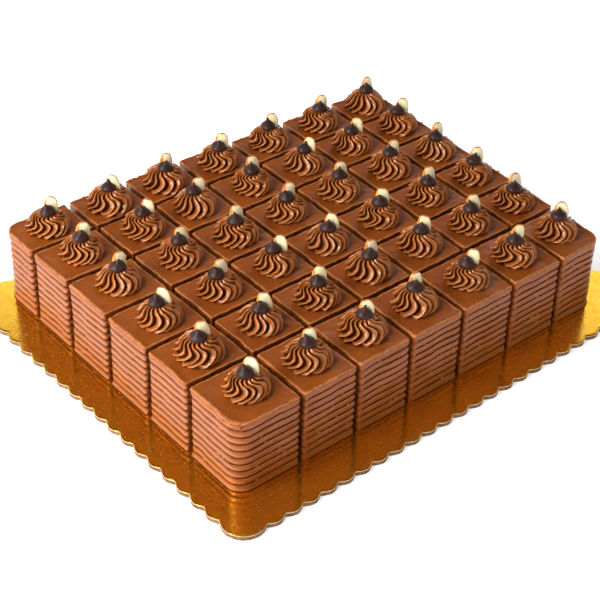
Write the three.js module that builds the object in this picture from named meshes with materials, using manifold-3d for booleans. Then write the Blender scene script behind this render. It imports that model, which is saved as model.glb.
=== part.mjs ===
// A chocolate sheet cake cut into 7 x 6 squares, on its scalloped cake board.
// Millimetres, +Z up. The origin is the middle of the board's underside, the long side runs along X,
// and the cake's front corner is at low X and low Y.
import * as THREE from "three";
import { mergeVertices } from "three/addons/utils/BufferGeometryUtils.js";
import Module from "manifold-3d";

const wasm = await Module();
wasm.setup();

// The cake: where the knife went, measured from the front corner along its two front sides.
const COLUMN_CUTS = [0, 54.5, 104, 153, 203, 253.5, 303.5, 348];
const ROW_CUTS = [0, 54.5, 102.5, 151, 200.5, 247.5, 289];
const COLUMN_FAN = 0.035; // how far the last column line leans, as a slope; the lines between share it
const ROW_FAN = -0.04; // the same for the last row line
const CAKE_CORNER = { x: -176.5, y: -137.5 };
const CAKE_HEIGHT = 60;
const CUT_GAP = 4;
const CORNER_RADIUS = 12;
const CORNER_STEPS = 4;
const REST_GAP = 0.3; // air between the board and the cake that stands on it

// The comb's ridges round the outer sides.
const RIDGES = 10;
const GROOVE_DEPTH = 1.3;
const FOOT_INSET = 0.8;
const TOP_BEVEL = 2.2;

// The piped rosette: rings from the cake's top upwards. Turn is how far the ridges have swept round.
const ROSETTE_RIDGES = 13;
const ROSETTE_RINGS = [
  { z: 0, radius: 14.8, depth: 1.6, turn: 0, points: 2 * ROSETTE_RIDGES },
  { z: 4, radius: 17, depth: 2.6, turn: 0.3, points: 2 * ROSETTE_RIDGES },
  { z: 11.4, radius: 12, depth: 0, turn: 0.4, points: ROSETTE_RIDGES },
];
const ROSETTE_SIZE_SPREAD = 0.045;
const ROSETTE_SHIFT = 1.4;

// The chocolate drop on top, and the nut half that stands behind it.
const DROP_RINGS = [
  { z: 14.3, radius: 6, sides: 8 },
  { z: 18.4, radius: 3.7, sides: 5 },
];
const DROP_TIP = 22.2;
const DROP_SHIFT = 1.2;
const NUT = { width: 11, height: 19, thickness: 4.8, top: 25.5, sides: 7, behind: 4.5 };
const NUT_SUNK_FROM = 2.25; // radians from the nut's tip round its outline to where the icing hides it
const NUT_DIRECTION = 0.38; // radians from +X to where the nut stands, seen from the drop
const NUT_TURN = 0.8; // radians from there to where its round back points
const NUT_SWING = 0.4;
const NUT_LEAN = 0.14;

// The board.
const BOARD = { length: 410, width: 338, thickness: 4 };
const BOARD_TURN = 0.0175; // radians, as the cake isn't set quite square on it
const SCALLOPS = { along: 23, across: 18, steps: 3, bulge: 3.2 };
const BOARD_CORNER = { cusp: 25.5, radius: 16, steps: 8 };

const icing = new THREE.MeshStandardMaterial({ color: 0x8a4a26, roughness: 0.5, metalness: 0 });
const foil = new THREE.MeshStandardMaterial({ color: 0xc98a25, roughness: 0.3, metalness: 0.9 });

// A repeatable random number from 0 to 1 for square i, j.
function chance(i, j, k) {
  const s = Math.sin(i * 12.9898 + j * 78.233 + k * 37.719) * 43758.5453;
  return s - Math.floor(s);
}

// The same from -amount to +amount.
function spread(i, j, k, amount) {
  return (2 * chance(i, j, k) - 1) * amount;
}

// Where column line i meets row line j, each first moved sideways. Every line leans a little more
// than the one before it.
function crossing(i, j, columnShift, rowShift) {
  const lean = (COLUMN_FAN * i) / (COLUMN_CUTS.length - 1);
  const slope = (ROW_FAN * j) / (ROW_CUTS.length - 1);
  const column = COLUMN_CUTS[i] + columnShift;
  const row = ROW_CUTS[j] + rowShift;
  const x = (column + lean * row) / (1 - lean * slope);
  return new THREE.Vector2(x + CAKE_CORNER.x, row + slope * x + CAKE_CORNER.y);
}

// The comb's profile from the foot to the top: how far in it is at each height.
function combProfile() {
  const pitch = CAKE_HEIGHT / RIDGES;
  const profile = [{ inset: FOOT_INSET, z: 0 }];
  for (let k = 0; k < RIDGES; k++) {
    profile.push({ inset: 0, z: (k + 0.5) * pitch });
    if (k < RIDGES - 1) profile.push({ inset: GROOVE_DEPTH, z: (k + 1) * pitch });
  }
  profile.push({ inset: TOP_BEVEL, z: CAKE_HEIGHT });
  return profile;
}

// One corner of a square as a list of upright edges, each a list of points from foot to top.
// An outer side is combed, so an edge on it follows the comb; a corner between two outer sides is round.
function cornerPosts(i, j, di, dj) {
  const outerColumn = (di ? i + 1 : i) % (COLUMN_CUTS.length - 1) === 0;
  const outerRow = (dj ? j + 1 : j) % (ROW_CUTS.length - 1) === 0;
  const inwardX = di ? -1 : 1;
  const inwardY = dj ? -1 : 1;
  const at = (insetX, insetY) => crossing(i + di, j + dj, inwardX * insetX, inwardY * insetY);
  const cut = CUT_GAP / 2;
  if (!outerColumn && !outerRow) {
    const p = at(cut, cut);
    return [[new THREE.Vector3(p.x, p.y, 0), new THREE.Vector3(p.x, p.y, CAKE_HEIGHT)]];
  }
  const profile = combProfile();
  if (!outerColumn || !outerRow) {
    return [
      profile.map(({ inset, z }) => {
        const p = at(outerColumn ? inset : cut, outerRow ? inset : cut);
        return new THREE.Vector3(p.x, p.y, z);
      }),
    ];
  }
  const centre = at(CORNER_RADIUS, CORNER_RADIUS);
  const start = Math.atan2(-inwardY, -inwardX) - Math.PI / 4;
  return Array.from({ length: CORNER_STEPS + 1 }, (_, k) => {
    const angle = start + ((Math.PI / 2) * k) / CORNER_STEPS;
    return profile.map(({ inset, z }) => {
      const radius = CORNER_RADIUS - inset;
      return new THREE.Vector3(centre.x + radius * Math.cos(angle), centre.y + radius * Math.sin(angle), z);
    });
  });
}

// Triangles of a flat polygon in space, with or without a hole, drawn on the plane that flatten gives.
function fillPolygon(points, flatten, triangles, hole = []) {
  const all = [...points, ...hole];
  const holes = hole.length ? [hole.map(flatten)] : [];
  for (const face of THREE.ShapeUtils.triangulateShape(points.map(flatten), holes))
    triangles.push(...face.map((k) => all[k]));
}

// A closed mesh from a list of triangle corners, as a solid.
function solidFrom(triangles) {
  const positions = triangles.flatMap((p) => [p.x, p.y, p.z]);
  const geometry = new THREE.BufferGeometry();
  geometry.setAttribute("position", new THREE.Float32BufferAttribute(positions, 3));
  const merged = mergeVertices(geometry, 1e-4);
  return new wasm.Manifold(
    new wasm.Mesh({
      numProp: 3,
      vertProperties: merged.attributes.position.array,
      triVerts: new Uint32Array(merged.index.array),
    }),
  );
}

// One cut square of cake: combed where it is on the outside, flat where the knife went, and with a
// hole in its top face where the rosette's lowest ring stands.
function cakeSquare(i, j, rosetteFoot, triangles) {
  const corners = [
    [0, 0],
    [1, 0],
    [1, 1],
    [0, 1],
  ].map(([di, dj]) => cornerPosts(i, j, di, dj));
  const outer = [j === 0, i === COLUMN_CUTS.length - 2, j === ROW_CUTS.length - 2, i === 0];
  const strip = (a, b) => {
    for (let k = 0; k + 1 < a.length; k++) {
      triangles.push(a[k], b[k], b[k + 1]);
      triangles.push(a[k], b[k + 1], a[k + 1]);
    }
  };
  corners.forEach((posts, side) => {
    for (let k = 0; k + 1 < posts.length; k++) strip(posts[k], posts[k + 1]);
    const from = posts[posts.length - 1];
    const to = corners[(side + 1) % corners.length][0];
    if (outer[side]) {
      strip(from, to);
      return;
    }
    const origin = new THREE.Vector2(from[0].x, from[0].y);
    const along = new THREE.Vector2(to[0].x, to[0].y).sub(origin).normalize();
    const onWall = (p) => new THREE.Vector2((p.x - origin.x) * along.x + (p.y - origin.y) * along.y, p.z);
    fillPolygon([from[0], ...to, ...from.slice(1).reverse()], onWall, triangles);
  });
  const posts = corners.flat();
  const top = posts.map((post) => post[post.length - 1]);
  const foot = posts.map((post) => post[0]).reverse();
  fillPolygon(top, (p) => new THREE.Vector2(p.x, p.y), triangles, rosetteFoot);
  fillPolygon(foot, (p) => new THREE.Vector2(-p.x, p.y), triangles);
}

// Joins two rings of points, which may differ in number, by a band of triangles.
function joinRings(low, high, triangles) {
  let a = 0;
  let b = 0;
  while (a < low.length || b < high.length) {
    const lowPoint = low[a % low.length];
    const highPoint = high[b % high.length];
    if ((a + 1) / low.length <= (b + 1) / high.length) {
      triangles.push(lowPoint, low[(a + 1) % low.length], highPoint);
      a += 1;
    } else {
      triangles.push(lowPoint, high[(b + 1) % high.length], highPoint);
      b += 1;
    }
  }
}

// A fan of triangles from a point to a ring.
function closeRing(ring, tip, facesUp, triangles) {
  ring.forEach((p, k) => {
    const next = ring[(k + 1) % ring.length];
    triangles.push(...(facesUp ? [p, next, tip] : [next, p, tip]));
  });
}

// The rings of the piped rosette and of the chocolate drop on it, from the cake's top up to the tip.
function rosetteRings(i, j, middle) {
  const size = 1 + spread(i, j, 1, ROSETTE_SIZE_SPREAD);
  const start = chance(i, j, 2) * 2 * Math.PI;
  const rosette = ROSETTE_RINGS.map(({ z, radius, depth, turn, points }) =>
    Array.from({ length: points }, (_, k) => {
      const angle = start + turn + (2 * Math.PI * k) / points;
      const r = size * (radius - (k % 2 ? depth : 0));
      return new THREE.Vector3(r * Math.cos(angle), r * Math.sin(angle), z * size).add(middle);
    }),
  );
  const dropMiddle = middle.clone().add(new THREE.Vector3(spread(i, j, 3, DROP_SHIFT), spread(i, j, 4, DROP_SHIFT)));
  const drop = DROP_RINGS.map(({ z, radius, sides }) =>
    Array.from({ length: sides }, (_, k) => {
      const angle = start + (2 * Math.PI * k) / sides;
      return new THREE.Vector3(radius * Math.cos(angle), radius * Math.sin(angle), z).add(dropMiddle);
    }),
  );
  const tip = new THREE.Vector3(0, 0, DROP_TIP).add(dropMiddle);
  return { rings: [...rosette, ...drop], tip };
}

// A nut half that stands on end: a flat egg-shaped face towards the front corner, and a round back.
function nutHalf(i, j, middle) {
  const { width, height, thickness, top, sides, behind } = NUT;
  const direction = NUT_DIRECTION + spread(i, j, 5, NUT_SWING);
  const lean = spread(i, j, 6, NUT_LEAN);
  const ring = (scale, back) =>
    Array.from({ length: sides }, (_, k) => {
      const angle = NUT_SUNK_FROM * (1 - (2 * k) / (sides - 1));
      const up = (scale * height * Math.cos(angle)) / 2;
      const narrowing = 1 - (0.25 * up) / height;
      return new THREE.Vector3(back, (scale * narrowing * width * Math.sin(angle)) / 2, up);
    });
  const face = ring(1, 0);
  const shoulder = ring(0.72, 0.75 * thickness);
  const triangles = [];
  closeRing(face, new THREE.Vector3(-0.25 * thickness, 0, 0), false, triangles);
  joinRings(face, shoulder, triangles);
  closeRing(shoulder, new THREE.Vector3(thickness, 0, 0), true, triangles);
  const x = middle.x + behind * Math.cos(direction);
  const y = middle.y + behind * Math.sin(direction);
  const placed = new THREE.Matrix4()
    .makeTranslation(x, y, middle.z + top - height / 2)
    .multiply(new THREE.Matrix4().makeRotationZ(direction + NUT_TURN + spread(i, j, 7, NUT_SWING / 2)))
    .multiply(new THREE.Matrix4().makeRotationX(lean));
  return solidFrom(triangles.map((p) => p.clone().applyMatrix4(placed)));
}

// The middle of the rosette on square i, j: near the square's own middle, on the cake's top.
function rosetteMiddle(i, j) {
  const low = crossing(i, j, 0, 0);
  const high = crossing(i + 1, j + 1, 0, 0);
  const middle = low.add(high).divideScalar(2);
  const x = middle.x + spread(i, j, 8, ROSETTE_SHIFT);
  return new THREE.Vector3(x, middle.y + spread(i, j, 9, ROSETTE_SHIFT), CAKE_HEIGHT);
}

// A square with all that is fused to it, as one solid.
function dressedSquare(i, j) {
  const middle = rosetteMiddle(i, j);
  const { rings, tip } = rosetteRings(i, j, middle);
  const triangles = [];
  cakeSquare(i, j, rings[0], triangles);
  for (let k = 0; k + 1 < rings.length; k++) joinRings(rings[k], rings[k + 1], triangles);
  closeRing(rings[rings.length - 1], tip, true, triangles);
  return withoutHollows(solidFrom(triangles).add(nutHalf(i, j, middle)));
}

// The outer skin of a solid: a pocket of air that joining sealed inside it comes apart as a piece of
// its own, and is left out.
function withoutHollows(solid) {
  return solid.decompose().reduce((largest, piece) => (piece.volume() > largest.volume() ? piece : largest));
}

// Points along one straight side of the board, as a row of shallow arcs that bulge outwards.
function scallopRow(from, to, count) {
  const along = to.clone().sub(from).divideScalar(count);
  const out = new THREE.Vector2(along.y, -along.x).normalize();
  return Array.from({ length: count * SCALLOPS.steps }, (_, k) => {
    const share = k / SCALLOPS.steps;
    const height = SCALLOPS.bulge * Math.sin(Math.PI * (share % 1));
    return from.clone().addScaledVector(along, share).addScaledVector(out, height);
  });
}

// The points of the larger round lobe at a corner of the board, from its first cusp up to the next.
function cornerLobe(from, to) {
  const chord = to.clone().sub(from);
  const half = chord.length() / 2;
  const out = new THREE.Vector2(chord.y, -chord.x).normalize();
  const inset = Math.sqrt(BOARD_CORNER.radius ** 2 - half ** 2);
  const centre = from.clone().add(to).divideScalar(2).addScaledVector(out, -inset);
  const start = Math.atan2(from.y - centre.y, from.x - centre.x);
  const sweep = 2 * Math.asin(half / BOARD_CORNER.radius);
  return Array.from({ length: BOARD_CORNER.steps }, (_, k) => {
    const angle = start + (sweep * k) / BOARD_CORNER.steps;
    const x = centre.x + BOARD_CORNER.radius * Math.cos(angle);
    return new THREE.Vector2(x, centre.y + BOARD_CORNER.radius * Math.sin(angle));
  });
}

// The board's whole outline, counterclockwise from above.
function boardOutline() {
  const x = BOARD.length / 2;
  const y = BOARD.width / 2;
  const { bulge, along, across } = SCALLOPS;
  const cusp = BOARD_CORNER.cusp;
  const at = (px, py) => new THREE.Vector2(px, py);
  const front = [at(-x + cusp, -y + bulge), at(x - cusp, -y + bulge)];
  const right = [at(x - bulge, -y + cusp), at(x - bulge, y - cusp)];
  const back = [at(x - cusp, y - bulge), at(-x + cusp, y - bulge)];
  const left = [at(-x + bulge, y - cusp), at(-x + bulge, -y + cusp)];
  return [
    ...scallopRow(...front, along),
    ...cornerLobe(front[1], right[0]),
    ...scallopRow(...right, across),
    ...cornerLobe(right[1], back[0]),
    ...scallopRow(...back, along),
    ...cornerLobe(back[1], left[0]),
    ...scallopRow(...left, across),
    ...cornerLobe(left[1], front[0]),
  ];
}

function meshOf(solid, name, material) {
  const { vertProperties, triVerts } = solid.getMesh();
  const geometry = new THREE.BufferGeometry();
  geometry.setAttribute("position", new THREE.Float32BufferAttribute(vertProperties, 3));
  geometry.setIndex(new THREE.Uint32BufferAttribute(triVerts, 1));
  geometry.computeVertexNormals();
  const mesh = new THREE.Mesh(geometry, material);
  mesh.name = name;
  return mesh;
}

const group = new THREE.Group();

const boardGeometry = new THREE.ExtrudeGeometry(new THREE.Shape(boardOutline()), {
  depth: BOARD.thickness,
  bevelEnabled: false,
});
const board = new THREE.Mesh(boardGeometry, foil);
board.name = "cake_board";
board.rotation.z = BOARD_TURN;
group.add(board);

const cake = new THREE.Group();
cake.position.z = BOARD.thickness + REST_GAP;
for (let j = 0; j < ROW_CUTS.length - 1; j++)
  for (let i = 0; i < COLUMN_CUTS.length - 1; i++)
    cake.add(meshOf(dressedSquare(i, j), `square_row${j + 1}_col${i + 1}`, icing));
group.add(cake);

export default group;
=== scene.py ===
"""A chocolate sheet cake cut into 7 x 6 squares on its scalloped gold board, in its finished look.

Shapes are worked out in millimetres with +Z up, at the size and in the place of the solids that they
stand for, and are turned into metres as each mesh is made.
"""
import math

import bpy
import numpy as np
from mathutils import Matrix, Vector


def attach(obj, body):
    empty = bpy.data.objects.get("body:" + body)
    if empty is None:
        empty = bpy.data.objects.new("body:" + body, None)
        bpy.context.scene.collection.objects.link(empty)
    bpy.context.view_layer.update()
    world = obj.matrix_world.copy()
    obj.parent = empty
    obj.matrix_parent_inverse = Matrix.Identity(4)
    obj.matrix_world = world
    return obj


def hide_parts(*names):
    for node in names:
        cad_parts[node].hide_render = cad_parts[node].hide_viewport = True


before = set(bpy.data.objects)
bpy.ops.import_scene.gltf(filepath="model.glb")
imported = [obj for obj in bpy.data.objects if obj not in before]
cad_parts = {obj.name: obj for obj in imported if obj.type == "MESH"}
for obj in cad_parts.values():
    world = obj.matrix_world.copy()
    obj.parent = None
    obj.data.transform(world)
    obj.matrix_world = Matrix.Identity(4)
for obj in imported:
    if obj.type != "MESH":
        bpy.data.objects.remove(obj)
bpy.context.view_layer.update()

MILLIMETRE = 0.001

# The cake: where the knife went, measured from the front corner along its two front sides.
COLUMN_CUTS = (0, 54.5, 104, 153, 203, 253.5, 303.5, 348)
ROW_CUTS = (0, 54.5, 102.5, 151, 200.5, 247.5, 289)
COLUMNS = len(COLUMN_CUTS) - 1
ROWS = len(ROW_CUTS) - 1
COLUMN_FAN = 0.035  # the slope of the last line of each kind, the first being straight
ROW_FAN = -0.04
CAKE_CORNER = (-176.5, -137.5)
CAKE_FOOT = 4.3  # the board's thickness and the air above it
CAKE_HEIGHT = 60
CUT_INSET = 2  # half of the gap that the knife left
CORNER_RADIUS = 12
CUT_CORNER_RADIUS = 0.8
CRISP_CORNER_RADIUS = 0.9  # where a cut meets a combed side
DRAGGED_CORNER_RADIUS = 2.0  # the same where the knife pulled the icing round into the cut
CUT_EDGE = 0.6  # how far down a cut's top edge starts to round off
ICING_DEPTH = 5.4  # on top
SIDE_ICING_DEPTH = 2.4

# How the knife pulled the comb's bands down at the dragged edges.
DRAG_DEPTH = 2.4
DRAG_REACH = 4.5
DRAG_FALLOFF = 1.3
DRAG_FADE = 6  # the height over which it fades towards the foot and towards the top
DRAG_AT_TOP = 0.35  # the share of it that is left there

# The comb's bands round the outer sides: (share of a band's height, how far in the scooped sides and the
# ribbed ones are there, and the painted shading of each, from 1.5 for painted shade in the grooves to -1 for
# a painted sheen on the lips).
BANDS = 10
BAND_PITCH = CAKE_HEIGHT / BANDS
BAND_SHAPE = (
    (0, 1.9, 1.7, 1.5, 1.4),
    (0.025, 0.6, 0.55, 1.3, 0.7),
    (0.11, 0.02, 0.2, -0.5, 0.0),
    (0.18, 0.32, 0.08, -1.0, 0.0),
    (0.36, 0.56, 0.0, -0.7, 0.0),
    (0.52, 0.85, 0.02, 0.1, 0.0),
    (0.68, 1.08, 0.09, 0.8, 0.0),
    (0.82, 1.3, 0.24, 1.3, 0.15),
    (0.92, 1.5, 0.53, 1.5, 1.3),
    (0.96, 1.9, 1.7, 1.5, 1.4),
)
TOP_BAND_DEPTH = 0.5  # of the highest band, as a share
NUB_REACH = 0.9  # how far from a cut the bands' ends are rounded into nubs
NUB_DEPTH = 1.3
NUB_FOOT = 1  # there are none below this height
SMOOTH_REACH = 1.6  # how far a dragged edge of the front side is smoothed over
SMOOTHING = 0.8
FAR = 99.0  # stands for a distance that nothing reaches
FOOT_FLARE = 0.7  # how far the icing spreads at the foot, and up to what height
FOOT_FLARE_HEIGHT = 1.0
FOOT_SHADE = 1.4  # the painted shadow where the icing meets the board
TOP_BEVEL = 0.8
TOP_ROUND = 0.9
RIM_WIDTH = 0.75  # of the painted highlight along the top edges
LIP_HEIGHT = 0.45  # the low lip that spreading left along the outer top edges
LIP_WIDTH = 2.2
LIP_CREST = 0.6  # where its crest is, as a share of its width
LIP_STEEPNESS = 3

# Steps between a square's points: how many, or their shares of the way, or (first share, last, how many).
CORNER_STEPS = 14
CUT_CORNER_STEPS = 3
ROUND_STEPS = 7  # up the rounded top edge
CUT_STEPS = (1, 0.1, 10)  # from the foot to near that edge, on a square that is cut all round
END_STEPS = (0.45, 0.95, 1.6, 2.5)  # along a combed side, in mm from its ends
MIDDLE_STEPS = (0.12, 0.88, 13)
CUT_END_STEPS = (0.03, 0.1)
CUT_MIDDLE_STEPS = (0.19, 0.81, 7)
TOP_STEPS = (0.02, 0.045, 0.08, 0.14, 0.24, 0.4, 0.62, 0.85)  # to a top's middle

# Waves in icing that was spread, combed and cut by hand: (which points they move, along which axes, length,
# depth, how much faster they change upwards than sideways, first seed).
WAVES = (
    ("side", (2,), 34, 0.32, 0.15, 1),
    ("side", (2,), 9, 0.12, 0.15, 2),
    ("anywhere", (0, 1), 26, 0.22, 1, 3),
    ("side", (0, 1), 11, 0.12, 2.5, 5),
    ("wall", (0, 1), 5.5, 0.34, 1, 7),
    ("top", (2,), 30, 0.3, 1, 9),
    ("top", (2,), 7, 0.14, 1, 10),
)
STEADY_FOOT = 4  # the sides' waves grow up to this height

# Folds round the front corner: (start, end, depth below the top at the start and at the end, half thickness).
# Start and end are distances round from the corner's middle, less than 0 on the left.
CORNER_SMEARS = (
    (-20, -0.5, 0.3, 1.2, 1.5),
    (-14, 1.5, 3.6, 3.4, 1.0),
    (-11.5, -2, 2.2, 2.2, 0.8),
    (4.5, 0.5, 0.8, 5.8, 1.15),
    (1.5, 10, 0.7, 0.3, 1.0),
)
FRONT_CORNER_WAY = 1.25 * math.pi
SMEAR_STEPS = 18
SMEAR_POINTS = 8  # round a fold
SMEAR_INSET = 0.1
SMEAR_WAVE = 0.3  # how far a fold waves up and down
SMEAR_WAVINESS = 0.9  # radians of that wave to a millimetre
SMEAR_END = 0.04  # how blunt its ends are
SMEAR_TAPER = 0.7
SMEAR_SHADE = 1.3  # the painted shade on a fold, on the right of the way that it runs, and the painted highlight on its left
SMEAR_RIM = 0.9
SMEAR_RIM_START = 0.4
BURRS = 4  # on each outer top edge of a square
LINE_BURRS = 6  # along the lines that the comb left on each outer side of a square
BURR_PLACE = (0.26, 0.84)  # where along the side they start
BURR_LENGTH = (0.6, 3.5)
BURR_SIZE = (0.3, 0.6)
BURR_INSET = (-0.1, 0.6)
BURR_LIFT = (-0.2, 0.15)
BURR_STEPS = 6

# The piped rosette's outline, from the middle of its top down to its foot: (radius, height).
ROSETTE_OUTLINE = (
    (0.4, 14.9), (3.4, 14.8), (6.4, 14.3), (9.4, 13.1), (12.2, 11.2), (14.6, 8.8),
    (16.2, 6.4), (17.1, 4.0), (17.2, 2.0), (16.2, 0.4), (14.6, -0.8),
)
ROSETTE_LEVELS = 36
ROSETTE_RIDGES = 15
# Across a ridge: (share of its width, how far up from the groove to the crest).
RIDGE_SHAPE = (
    (0.0, 0.0), (0.13, 0.12), (0.27, 0.36), (0.42, 0.6), (0.57, 0.8),
    (0.69, 0.94), (0.78, 1.0), (0.86, 0.84), (0.93, 0.34),
)
# The ridges' depth at shares of the way from the top to the foot.
RIDGE_DEPTH = ((0, 0.9), (0.3, 2.4), (0.6, 3.8), (0.85, 5.4), (1, 7.0))
# How far round a ridge has swept, in radians, at each share of that way, and how much of a waver is added.
RIDGE_SWEEP = ((0, -0.3), (0.3, -0.12), (0.45, 0.1), (0.56, 0.16), (0.68, 0.06), (0.82, -0.2), (1.0, -0.54))
RIDGE_WAVER = ((0, 0.3), (0.14, 0.05), (0.3, -0.28), (0.5, 0.12), (0.64, 0.1), (0.84, -0.05), (1.0, 0.1))
RIDGE_CURVE_STEPS = 60
# How much one rosette or ridge differs from the next.
SWEEP_RANGE = (0.85, 1.2)
WAVER_RANGE = (-0.2, 1.0)
CREST_RANGE = (0.88, 1.08)
REACH_SPREAD = 0.4
ROSETTE_SIZE_SPREAD = 0.045
ROSETTE_SHIFT = 1.4
# A rosette's ripples: (depth, length). The first two go round a circle.
RIDGE_WOBBLE = (0.1, 9)
ROSETTE_LOBES = (0.022, 22)
ROSETTE_ROUGHNESS = (0.15, 4.5)
RIPPLE_CIRCLE = 10
ROUGHNESS_WAYS = (1, 1, 0.6)
SMOOTH_TOP = 0.25  # the share of the way over which the roughness grows
SMALLEST_RADIUS = 0.15

# The chocolate drop on it: (radius, height above the cake's top).
DROP_OUTLINE = (
    (0.5, 13.4), (4.4, 13.4), (5.7, 14.2), (6.15, 15.4), (5.8, 16.7), (4.8, 18.0),
    (3.4, 19.1), (2.0, 20.1), (1.15, 21.1), (0.8, 22.1), (0.3, 22.8),
)
DROP_FOOT = DROP_OUTLINE[0][1]
DROP_TIP = DROP_OUTLINE[-1][1]
DROP_LEVELS = 21
DROP_POINTS = 22
DROP_WAVES = ((2, 0.03), (3, 0.02))  # (how many go round it, depth as a share)
DROP_PHASES = (0, 6)
DROP_RIPPLE = (0.08, 5)
DROP_SHIFT = 1.2
DROP_CURL = 0.9
DROP_CURL_RANGE = (0.2, 1)
DROP_TILT = 0.16
DROP_TILT_WAY = 1.5  # how far round from the curl the axis of the tilt is

# The nut half behind the drop.
NUT_WIDTH = 11
NUT_HEIGHT = 19
NUT_THICKNESS = 4.8
NUT_TOP = 25.5
NUT_BEHIND = 4.5
NUT_DIRECTION = 0.3
NUT_TURN = 0.75
NUT_SWING = 0.36
NUT_LEAN = 0.14
NUT_SQUARENESS = 0.82  # 1 is an ellipse and less is squarer
NUT_NARROWING = 0.2
NUT_POINTS = 28
NUT_RIPPLE = (0.14, 6)
# Its rings' sizes are shares of its outline, and how far back they are is a share of its thickness.
NUT_FACE_SIZES = (0.08, 0.35, 0.6, 0.8, 0.92)
NUT_FACE_BULGE = 0.25
NUT_FACE_FLATNESS = 2.4
NUT_RIM = ((0.985, 0.06), (1, 0.16), (0.985, 0.3))  # (size, how far back)
NUT_BACK_ANGLES = (0.38, math.pi / 2 - 0.06, 7)  # (first, last, how many)
NUT_BACK_START = 0.05
SIDE_SKIN = 0.95  # how much of the skin wraps round to one side of its face, and over its upper rim
RIM_SKIN = 0.6

# The board.
BOARD_LENGTH = 410
BOARD_WIDTH = 338
BOARD_TURN = 0.0175
SCALLOPS_ALONG = 23
SCALLOPS_ACROSS = 18
SCALLOP_STEPS = 16
SCALLOP_BULGE = 3.2
LOBE_CUSP = 25.5
LOBE_RADIUS = 16
LOBE_STEPS = 60
FLUTE_PITCH = 4.4
FLUTE_DEPTH = 0.7
FLUTED = (0.55, 2.4)  # between these heights the core's flutes are cut in
# The board's materials, and its rings: (height, how far in, the material of the band above it) from the
# underside to the foil.
FOIL = 0
PAPER_EDGE = 1
LINER = 2
CORE = 3
BOARD_LEVELS = (
    (0.0, 0.5, LINER), (0.15, 0.2, LINER), (0.5, 0.2, LINER), (0.55, 0.25, LINER), (1.2, 0.3, LINER),
    (2.4, 0.25, CORE), (2.45, 0.7, CORE), (3.3, 0.7, CORE), (3.35, 0.05, PAPER_EDGE), (3.75, 0.0, PAPER_EDGE),
    (3.92, 0.12, FOIL), (4.0, 0.5, FOIL), (4.0, 2.5, FOIL),
)

# Colours. Two together are mixed in patches.
ICING_SHADES = ((0.225, 0.05, 0.0065), (0.3, 0.074, 0.0115))
ICING_FLECKS = (0.35, 0.1, 0.02)
# Painted light and shade in the icing: a painted highlight along the top edges and folds, a painted sheen on
# the comb's lips, and painted shade in the grooves, notches, folds and at the foot.
PAINTED_HIGHLIGHT_ICING = (0.52, 0.2, 0.07)
LIP_PAINTED_SHEEN = (0.5, 0.24, 0.13)
SHADED_ICING = (0.14, 0.02, 0.0015)
DEEP_PAINTED_SHADE = (0.045, 0.009, 0.0015)
SCRAPED_ICING = (0.075, 0.018, 0.003)
CRUMB_SHADES = ((0.022, 0.008, 0.003), (0.12, 0.042, 0.014))
PIPED_SHADES = ((0.31, 0.08, 0.011), (0.4, 0.11, 0.018))
# Painted shade in the rosettes' grooves and a painted highlight on their crests.
PIPED_GROOVE_SHADE = (0.025, 0.006, 0.0015)
PIPED_CREST_HIGHLIGHT = (0.58, 0.225, 0.075)
WARM_SHINE = (1.0, 0.78, 0.62, 1.0)  # icing mirrors a little of its own colour
WHITE = (1.0, 1.0, 1.0, 1.0)
ICING_ROUGHNESS = (0.21, 0.21, 0.21)
CRUMB_ROUGHNESS = (0.9, 0.9, 0.9)
SIDE_SHINE = 0.45
TOP_SHINE = 0.06
SHINE_DEPTHS = (0.7, 0.2)  # below the top, where the one turns into the other
ICING_LOOK = {"Subsurface_Radius": (0.9, 0.35, 0.15), "Subsurface_Scale": 0.001, "Specular_Tint": WARM_SHINE}
FLOOR_GLOW = 0.55
FLOOR_HALF = 6.0  # in metres, as the next one
FLOOR_BELOW = 0.0003

# The camera, fitted to the photograph, in metres and with its lens and sensor in millimetres.
CAMERA_AZIMUTH = math.radians(-40.435)
CAMERA_ELEVATION = math.radians(37.25)
CAMERA_ROLL = math.radians(1.5)
CAMERA_TARGET = Vector((-0.002275, 0.008358, 0))
CAMERA_DISTANCE = 1.26066
CAMERA_LENS = 97.3
CAMERA_SENSOR = 36
CAMERA_NEAREST = 0.05
CAMERA_FURTHEST = 50

# The light: each softbox's direction from the cake, distance, width and height in metres, and power in watts.
SOFTBOXES = {
    "key_light": ((-0.85, 0.05, 0.62), 1.3, 0.5, 0.5, 9.5),
    "glint_light": ((-0.5, 0.07, 0.8), 1.3, 0.2, 0.2, 4.0),
    "corner_glint": ((-0.9, -0.28, 0.36), 1.3, 0.12, 0.12, 0.8),
    "left_fill": ((-1, 0.04, 0.36), 1.3, 0.9, 0.6, 8.4),
    "top_light": ((0, 0.15, 1), 1.5, 0.9, 0.9, 1.0),
    "back_left": ((-0.45, 0.9, 0.6), 1.4, 0.8, 0.5, 1.0),
    "back_sheen": ((0.62, 0.72, 0.6), 1.6, 1.4, 0.4, 1.6),
}
WALL_LIGHT = (0.54, 0.72, 0.78, 0.0)  # (height, greater height, brightness at each), 1 being straight up

# Chance: numbered draws for a square, and seeds for the things with more of them.
CHANCE_STEPS = (12.9898, 78.233, 37.719)
CHANCE_SCALE = 43758.5453
SIZE_DRAW = 1
TURN_DRAW = 2
DROP_DRAWS = (3, 4)
NUT_DIRECTION_DRAW = 5
NUT_LEAN_DRAW = 6
NUT_TURN_DRAW = 7
MIDDLE_DRAWS = (8, 9)
ROSETTE_SEED = 100
DROP_SEED = 300
NUT_SEED = 500
BURR_SEED = 700
SEEDS_A_ROW = 10
RIPPLE_SEEDS = 1000
RIPPLE_WAVES = 7
RIPPLE_LENGTHS = (0.7, 1.5)  # of the wanted length
CURVE_STEPS = 24  # between two points of a curve


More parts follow.
